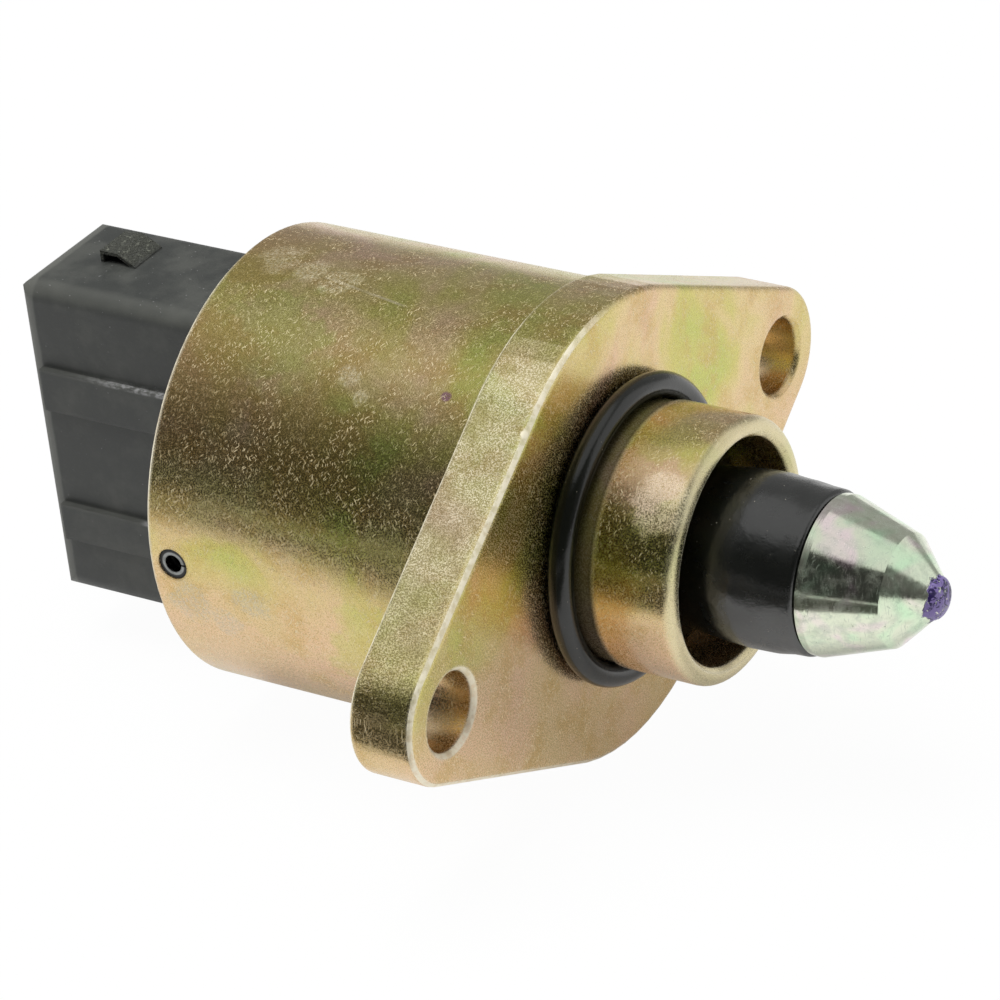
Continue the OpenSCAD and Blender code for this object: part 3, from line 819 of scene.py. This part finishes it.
def dress(name: str, material: bpy.types.Material) -> None:
    """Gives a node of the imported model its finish.

    Args:
        name: Name of the node.
        material: The finish.
    """
    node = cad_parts[name]
    node.data.materials.clear()
    node.data.materials.append(material)
    LOG.info("%s dressed in %s", name, material.name)


def turned(x: float, radius: float, angle: float) -> Place:
    """Turns a point about the axis of the valve.

    Args:
        x: Its place along the axis, in millimetres.
        radius: Its distance from the axis, in millimetres.
        angle: Its angle, in radians.

    Returns:
        Its place, in metres.
    """
    return x * MM, radius * MM * math.cos(angle), radius * MM * math.sin(angle)


def circle(mesh: bmesh.types.BMesh, x: float, radius: float, steps: int) -> list[bmesh.types.BMVert]:
    """Adds a circle of points round the axis of the valve.

    Args:
        mesh: The mesh.
        x: Place along the axis, in millimetres.
        radius: Its radius, in millimetres.
        steps: Number of points.

    Returns:
        The points.
    """
    return [mesh.verts.new(turned(x, radius, 2 * math.pi * step / steps)) for step in range(steps)]


def skin(mesh: bmesh.types.BMesh, rings: Sequence[list[bmesh.types.BMVert]], closed: bool = False) -> None:
    """Joins rings of points by faces.

    Args:
        mesh: The mesh.
        rings: The rings, all with the same number of points.
        closed: Whether the last ring joins the first. Otherwise both ends are capped.
    """
    follow = rings[1:] + rings[:1] if closed else rings[1:]
    for first, second in zip(rings, follow):
        for step in range(len(first)):
            after = (step + 1) % len(first)
            mesh.faces.new([first[step], first[after], second[after], second[step]])
    if not closed:
        mesh.faces.new(rings[0])
        mesh.faces.new(rings[-1][::-1])
    bmesh.ops.recalc_face_normals(mesh, faces=mesh.faces)


def lathe(name: str, profile: Sequence[Point], steps: int) -> bpy.types.Object:
    """Turns a closed profile about the axis of the valve.

    Args:
        name: Name of the piece.
        profile: Points as (place along X, radius), in millimetres.
        steps: Points round the axis.

    Returns:
        The piece.
    """
    mesh = bmesh.new()
    skin(mesh, [circle(mesh, x, radius, steps) for x, radius in profile], closed=True)
    return finish_mesh(name, mesh)


def finish_mesh(name: str, mesh: bmesh.types.BMesh) -> bpy.types.Object:
    """Turns a bmesh into a smooth-shaded object.

    Args:
        name: Name of the piece.
        mesh: The mesh, freed here.

    Returns:
        The piece.
    """
    data = bpy.data.meshes.new(name)
    mesh.to_mesh(data)
    mesh.free()
    data.shade_smooth()
    piece = bpy.data.objects.new(name, data)
    bpy.context.scene.collection.objects.link(piece)
    return piece


def arc(centre: Point, radius: float, start: float, end: float, steps: int) -> list[Point]:
    """Returns points of an arc.

    Args:
        centre: Its centre.
        radius: Its radius.
        start: Angle of its first point, in degrees.
        end: Angle of its last point, in degrees.
        steps: Number of chords.

    Returns:
        The points.
    """
    points = []
    for step in range(steps + 1):
        angle = math.radians(start + (end - start) * step / steps)
        points.append((centre[0] + radius * math.cos(angle), centre[1] + radius * math.sin(angle)))
    return points


def place_piece(piece: bpy.types.Object, material: bpy.types.Material, body: str,
                node: str) -> None:
    """Gives a piece its finish and its body, and hides the node that it stands in for.

    Args:
        piece: The piece.
        material: Its finish.
        body: The body that it rides on.
        node: The node that it replaces.
    """
    piece.data.materials.clear()
    piece.data.materials.append(material)
    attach(piece, body)
    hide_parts(node)
    LOG.info("%s rides on %s: %d faces", piece.name, body, len(piece.data.polygons))


def shorten(piece: bpy.types.Object) -> None:
    """Gives a soft piece its own copy of its mesh.

    Args:
        piece: The piece.
    """
    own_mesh(piece)


@dataclass
class Housing:
    """The plated steel body, its seal ring and the two locking pins."""

    finishes: Finishes

    def build(self) -> None:
        """Dresses the body, the ring and the pins."""
        dress("housing", self.finishes.zinc)
        dress("nose_seal", self.finishes.ring)
        for name in ("spring_pin_near", "spring_pin_far"):
            dress(name, self.finishes.pin)


@dataclass
class Boot:
    """The rubber boot, turned with a lumpy skin."""

    finishes: Finishes
    lip: float = 0.45
    wall: float = 0.9
    proud: float = 0.17
    foot: float = 1.2
    neck: float = 5.6
    waist: tuple[Point, ...] = (
        (2.6, 5.42), (4.6, 5.62), (6.6, 5.9), (8.4, 6.0), (10.4, 5.86), (11.7, 5.66))
    bore: Point = (4.5, 4.6)
    lumps: tuple[Point, ...] = ((260, 0.09), (700, 0.03))
    fade: float = 1.5
    cuts: int = 6
    steps: int = 160

    def profile(self) -> list[Point]:
        """Returns the section of the boot as (x, radius), in millimetres."""
        low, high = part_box("boot")
        x0, x1 = low[0] / MM, high[0] / MM
        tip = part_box("pintle_tip")[1][2] / MM
        foot = [(x0, high[2] / MM), (x0 + self.foot, high[2] / MM), (x0 + self.foot + 0.05, self.neck)]
        waist = []
        for (xa, ra), (xb, rb) in zip(self.waist, self.waist[1:]):
            for step in range(self.cuts):
                share = step / self.cuts
                waist.append((x0 + xa + (xb - xa) * share, ra + (rb - ra) * share))
        nose = arc((x1 - self.lip, tip + self.proud - self.lip), self.lip, 90, 0, 8)
        inner = [(x1, tip - self.wall), (x1 - 4, tip - self.wall + 0.2), (x0 + 4, self.bore[1]),
                 (x0, self.bore[0])]
        return foot + waist + nose + inner

    def build(self) -> None:
        """Builds the boot and sets it on the valve body."""
        piece = lathe("rubber_boot", self.profile(), self.steps)
        rng = random.Random(7)
        offset = Vector((rng.random(), rng.random(), rng.random()))
        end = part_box("boot")[1][0]
        for vertex in piece.data.vertices:
            radial = Vector((0, vertex.co.y, vertex.co.z))
            share = min(1.0, max(0.0, (end - vertex.co.x) / (self.fade * MM)))
            swell = sum(noise.noise(vertex.co * scale + offset) * height for scale, height in self.lumps)
            vertex.co += radial.normalized() * swell * share * MM
        place_piece(piece, self.finishes.boot, "valve_body", "boot")
        shorten(piece)


@dataclass
class Pintle:
    """The metering cone and the threaded screw that carries it."""

    finishes: Finishes
    pitch: float = 1.0
    depth: float = 0.55
    flats: float = 3.3
    radius: float = 2.0
    thread_end: float = 15.2
    stub: float = 1.5
    rows_per_mm: int = 10
    per_turn: int = 40
    stub_steps: int = 32

    def thread(self) -> bpy.types.Object:
        """Returns the lead screw with its thread and two flats."""
        low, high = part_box("lead_screw")
        x0, x1 = low[0] / MM, self.thread_end
        rows = int((x1 - x0) * self.rows_per_mm)
        mesh = bmesh.new()
        rings = []
        for row in range(rows + 1):
            x = x0 + (x1 - x0) * row / rows
            ring = []
            for step in range(self.per_turn):
                angle = 2 * math.pi * step / self.per_turn
                turn = (x / self.pitch - step / self.per_turn) % 1
                reach = self.radius - self.depth * abs(2 * turn - 1)
                edge = self.flats / 2 / max(1e-6, abs(math.sin(angle)))
                ring.append(mesh.verts.new(turned(x, min(reach, edge), angle)))
            rings.append(ring)
        skin(mesh, rings)
        skin(mesh, [circle(mesh, end, self.stub, self.stub_steps) for end in (x1, high[0] / MM)])
        return finish_mesh("threaded_screw", mesh)

    def build(self) -> None:
        """Builds the screw and dresses the cone."""
        dress("pintle_tip", self.finishes.tip)
        place_piece(self.thread(), self.finishes.steel, "pintle", "lead_screw")


@dataclass
class Motor:
    """The stepper motor inside the can."""

    finishes: Finishes
    wire: float = 0.3
    coil_bore: float = 9.0
    coil_steps: int = 72
    spring_wire: float = 0.35
    spring_mean: float = 3.3
    spring_turns: int = 6
    spring_steps: int = 40
    spring_sides: int = 12

    def winding(self, node: str) -> None:
        """Replaces a coil by one whose outside shows its turns of wire.

        Args:
            node: The coil's node.
        """
        low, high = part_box(node)
        x0, x1, outer = low[0] / MM, high[0] / MM, high[2] / MM
        turns = int((x1 - x0) / self.wire)
        profile = [(x0, self.coil_bore)]
        for turn in range(turns):
            middle = x0 + (x1 - x0) * (turn + 0.5) / turns
            profile += arc((middle, outer - self.wire / 2), self.wire / 2 * 0.98, 180, 0, 4)
        profile.append((x1, self.coil_bore))
        piece = lathe("wound_" + node, profile, self.coil_steps)
        place_piece(piece, self.finishes.copper, "valve_body", node)

    def build(self) -> None:
        """Dresses the pieces of the motor."""
        steel = ("bearing_outer_ring", "bearing_inner_ring", "bearing_balls")
        poles = ("front_cup", "front_pole_plate", "rear_pole_plate", "rear_cup", "rear_plate")
        pale = ("shaft_guide", "rotor_nut", "front_bobbin", "rear_bobbin", "thrust_washer")
        bronze = ("bearing_cage", "rear_bush")
        for names, material in (
                (steel, self.finishes.steel), (poles, self.finishes.pole), (pale, self.finishes.pale),
                (bronze, self.finishes.bronze), (("rotor_magnet",), self.finishes.ferrite),
                (("rear_seal",), self.finishes.ring)):
            for name in names:
                dress(name, material)
        self.winding("front_winding")
        self.winding("rear_winding")
        self.spring()

    def spring(self) -> None:
        """Builds the spring round the screw as a smooth coil."""
        low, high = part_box("pintle_spring")
        wire = self.spring_wire
        x0, x1 = low[0] / MM + wire, high[0] / MM - wire
        mesh = bmesh.new()
        rings = []
        count = self.spring_turns * self.spring_steps
        for step in range(count + 1):
            share = step / count
            angle = 2 * math.pi * self.spring_turns * share
            x = x0 + (x1 - x0) * share
            ring = []
            for side in range(self.spring_sides):
                lean = 2 * math.pi * side / self.spring_sides
                radius = self.spring_mean + wire * math.cos(lean)
                ring.append(mesh.verts.new(turned(x + wire * math.sin(lean), radius, angle)))
            rings.append(ring)
        skin(mesh, rings)
        piece = finish_mesh("coil_spring", mesh)
        place_piece(piece, self.finishes.steel, "valve_body", "pintle_spring")
        shorten(piece)


@dataclass
class Plug:
    """The connector and its terminals."""

    finishes: Finishes
    terminals: int = 4

    def build(self) -> None:
        """Dresses the connector and its terminals."""
        dress("connector", self.finishes.plug)
        for number in range(1, self.terminals + 1):
            dress(f"terminal_{number}", self.finishes.tinned)


@dataclass
class Studio:
    """The white studio: floor, light tent, dark card, two lamps and camera."""

    azimuth: float = 32.62
    elevation: float = 30.76
    roll: float = -5.26
    distance: float = 322.7
    focal_px: float = 4780.9
    frame_px: float = 1000
    origin_px: Point = (623.95, 526.5)
    floor_z: float = -16.62
    tent_r: float = 1.5
    tent_dark: float = 0.04
    tent_side: float = 0.36
    tent_window: float = 0.9
    tent_top: float = 0.83
    sensor: float = 36
    card_corners: tuple[Point, ...] = (
        (-0.012, -0.038), (0.012, -0.038), (0.03, -0.049), (0.06, -0.045), (0.13, -0.075),
        (0.3, -0.34), (-0.32, -0.34), (-0.088, -0.107), (-0.055, -0.078), (-0.032, -0.053))

    def camera(self) -> None:
        """Makes the camera at the photo's angle."""
        az, el, roll = (math.radians(value) for value in (self.azimuth, self.elevation, self.roll))
        back = Vector((math.sin(az) * math.cos(el), -math.cos(az) * math.cos(el), math.sin(el)))
        right = Vector((math.cos(az), math.sin(az), 0))
        up = back.cross(right)
        turned_right = math.cos(roll) * right + math.sin(roll) * up
        turned_up = math.cos(roll) * up - math.sin(roll) * right
        data = bpy.data.cameras.new("camera")
        data.sensor_width = self.sensor
        data.lens = self.sensor * self.focal_px / self.frame_px
        data.shift_x = -(self.origin_px[0] - self.frame_px / 2) / self.frame_px
        data.shift_y = (self.origin_px[1] - self.frame_px / 2) / self.frame_px
        data.clip_start, data.clip_end = 0.01, 10
        camera = bpy.data.objects.new("camera", data)
        basis = Matrix((turned_right, turned_up, back)).transposed().to_4x4()
        camera.matrix_world = Matrix.Translation(back * self.distance * MM) @ basis
        bpy.context.scene.collection.objects.link(camera)
        bpy.context.scene.camera = camera

    @staticmethod
    def seen_plain(sheet: Sheet) -> Signal:
        """Picks the rays that should see the plain white background.

        Args:
            sheet: The sheet.

        Returns:
            1 for those rays, and 0 for the others.
        """
        paths = [sheet.node("ShaderNodeLightPath", out=name)
                 for name in ("Is Camera Ray", "Is Glossy Ray", "Is Transmission Ray")]
        return paths[0].larger(paths[1]).larger(paths[2])

    def sheet_world(self) -> None:
        """Makes the world: white behind the valve and grey light on it."""
        world = bpy.data.worlds.new("studio")
        world.use_nodes = True
        bpy.context.scene.world = world
        sheet = Sheet("world_sheet")
        sheet.tree = world.node_tree
        sheet.tree.nodes.clear()
        light = sheet.node("ShaderNodeBackground", None, {"Color": (1, 1, 1), "Strength": 0.5})
        white = sheet.node("ShaderNodeBackground", None, {"Color": (1, 1, 1), "Strength": 1.0})
        mixed = sheet.node("ShaderNodeMixShader", None, {0: self.seen_plain(sheet), 1: light, 2: white})
        end = sheet.tree.nodes.new("ShaderNodeOutputWorld")
        sheet.tree.links.new(mixed.socket, end.inputs["Surface"])

    def floor(self) -> None:
        """Makes the white floor under the valve."""
        mesh = bmesh.new()
        bmesh.ops.create_grid(mesh, x_segments=1, y_segments=1, size=3)
        piece = finish_mesh("floor", mesh)
        piece.location.z = self.floor_z * MM
        sheet = Sheet("floor_white")
        plain = sheet.node("ShaderNodeBsdfDiffuse", None, {"Color": (0.82, 0.82, 0.81)})
        glow = sheet.node("ShaderNodeEmission", None, {"Color": (1.0, 1.0, 1.0), "Strength": 1.0})
        camera = sheet.node("ShaderNodeLightPath", out="Is Camera Ray")
        share = (0.35 * self.seen_plain(sheet)).larger(0.97 * camera)
        mixed = sheet.node("ShaderNodeMixShader", None, {0: share, 1: plain, 2: glow})
        self.stage_piece(piece, sheet, mixed)

    def stage_piece(self, piece: bpy.types.Object, sheet: Sheet, shader: Signal) -> None:
        """Ends a sheet with a shader and puts it on a piece of the stage.

        Args:
            piece: The piece.
            sheet: Its sheet.
            shader: The shader.
        """
        end = sheet.tree.nodes.new("ShaderNodeOutputMaterial")
        sheet.tree.links.new(shader.socket, end.inputs["Surface"])
        sheet.material.cycles.emission_sampling = "NONE"
        piece.data.materials.append(sheet.material)

    def card(self) -> None:
        """Makes the dark card on the floor in front, which shows only in the bright pieces."""
        mesh = bmesh.new()
        mesh.faces.new([mesh.verts.new((x, y, 0)) for x, y in self.card_corners])
        piece = finish_mesh("dark_card", mesh)
        piece.location.z = (self.floor_z + 0.2) * MM
        sheet = Sheet("card_grey")
        dull = sheet.node("ShaderNodeBsdfDiffuse", None, {"Color": (0.06, 0.06, 0.055)})
        self.stage_piece(piece, sheet, dull)
        piece.visible_camera = False
        piece.visible_diffuse = False
        piece.visible_shadow = False

    def tent(self) -> None:
        """Makes the light tent: dark in front, grey at the sides, bright overhead and at a window."""
        mesh = bmesh.new()
        bmesh.ops.create_uvsphere(mesh, u_segments=64, v_segments=48, radius=self.tent_r)
        low = [vertex for vertex in mesh.verts if vertex.co.z < -0.01]
        bmesh.ops.delete(mesh, geom=low, context="VERTS")
        piece = finish_mesh("light_tent", mesh)
        piece.location.z = self.floor_z * MM
        sheet = Sheet("tent_cloth")
        along, across, up = sheet.axes()
        heading = along.maths(Maths.ARCTAN, along, -1 * across) * math.degrees(1)
        level = up / (self.tent_r / MM)
        height = level.maths(Maths.ARCSINE, level) * math.degrees(1)
        front = heading.between(-76, -46) * heading.between(95, 92)
        near = self.tent_dark + 0.07 * heading.between(-22, -44) + 0.1 * heading.between(50, 88)
        near = near + 0.2 * height.between(30, 60) * heading.between(-12, -42)
        side = (1 - front) * self.tent_side + front * near
        window = self.tent_window * heading.between(92, 95) * heading.between(165, 148)
        window = window * height.between(50, 42)
        left = heading.between(-30, -60)
        top = (1 - left) * height.between(56.5, 58.5) + left * height.between(57, 60.5)
        light = side.larger(window).larger(self.tent_top * top)
        shade = sheet.node("ShaderNodeCombineXYZ", None, {0: light, 1: light, 2: light})
        mixed = sheet.node("ShaderNodeEmission", None, {"Color": shade, "Strength": 1.0})
        self.stage_piece(piece, sheet, mixed)
        piece.visible_camera = False
        piece.visible_shadow = False

    @staticmethod
    def lamp(name: str, at: Sequence[float], size: float, power: float) -> None:
        """Adds a square lamp that points at the valve.

        Args:
            name: Name of the lamp.
            at: Its place, in metres.
            size: Length of its side, in metres.
            power: Its power, in watts.
        """
        data = bpy.data.lights.new(name, "AREA")
        data.shape = "SQUARE"
        data.size = size
        data.energy = power
        lamp = bpy.data.objects.new(name, data)
        lamp.location = at
        lamp.visible_glossy = False
        lamp.rotation_mode = "QUATERNION"
        lamp.rotation_quaternion = Vector(at).to_track_quat("Z", "Y")
        bpy.context.scene.collection.objects.link(lamp)

    def build(self) -> None:
        """Builds the studio."""
        self.camera()
        self.sheet_world()
        self.floor()
        self.tent()
        self.card()
        self.lamp("key_box", (-0.42, -0.36, 0.72), 0.24, 1.0)
        self.lamp("top_box", (-0.1, -0.1, 0.8), 0.5, 6)
        view = bpy.context.scene.view_settings
        view.view_transform = "Standard"


def main() -> None:
    """Builds and dresses the valve in its studio."""
    logging.basicConfig(level=logging.INFO, format="%(name)s: %(message)s")
    finishes = Finishes()
    Studio().build()
    for part in (Housing(finishes), Boot(finishes), Pintle(finishes), Motor(finishes), Plug(finishes)):
        part.build()


if __name__ == "__main__":
    main()
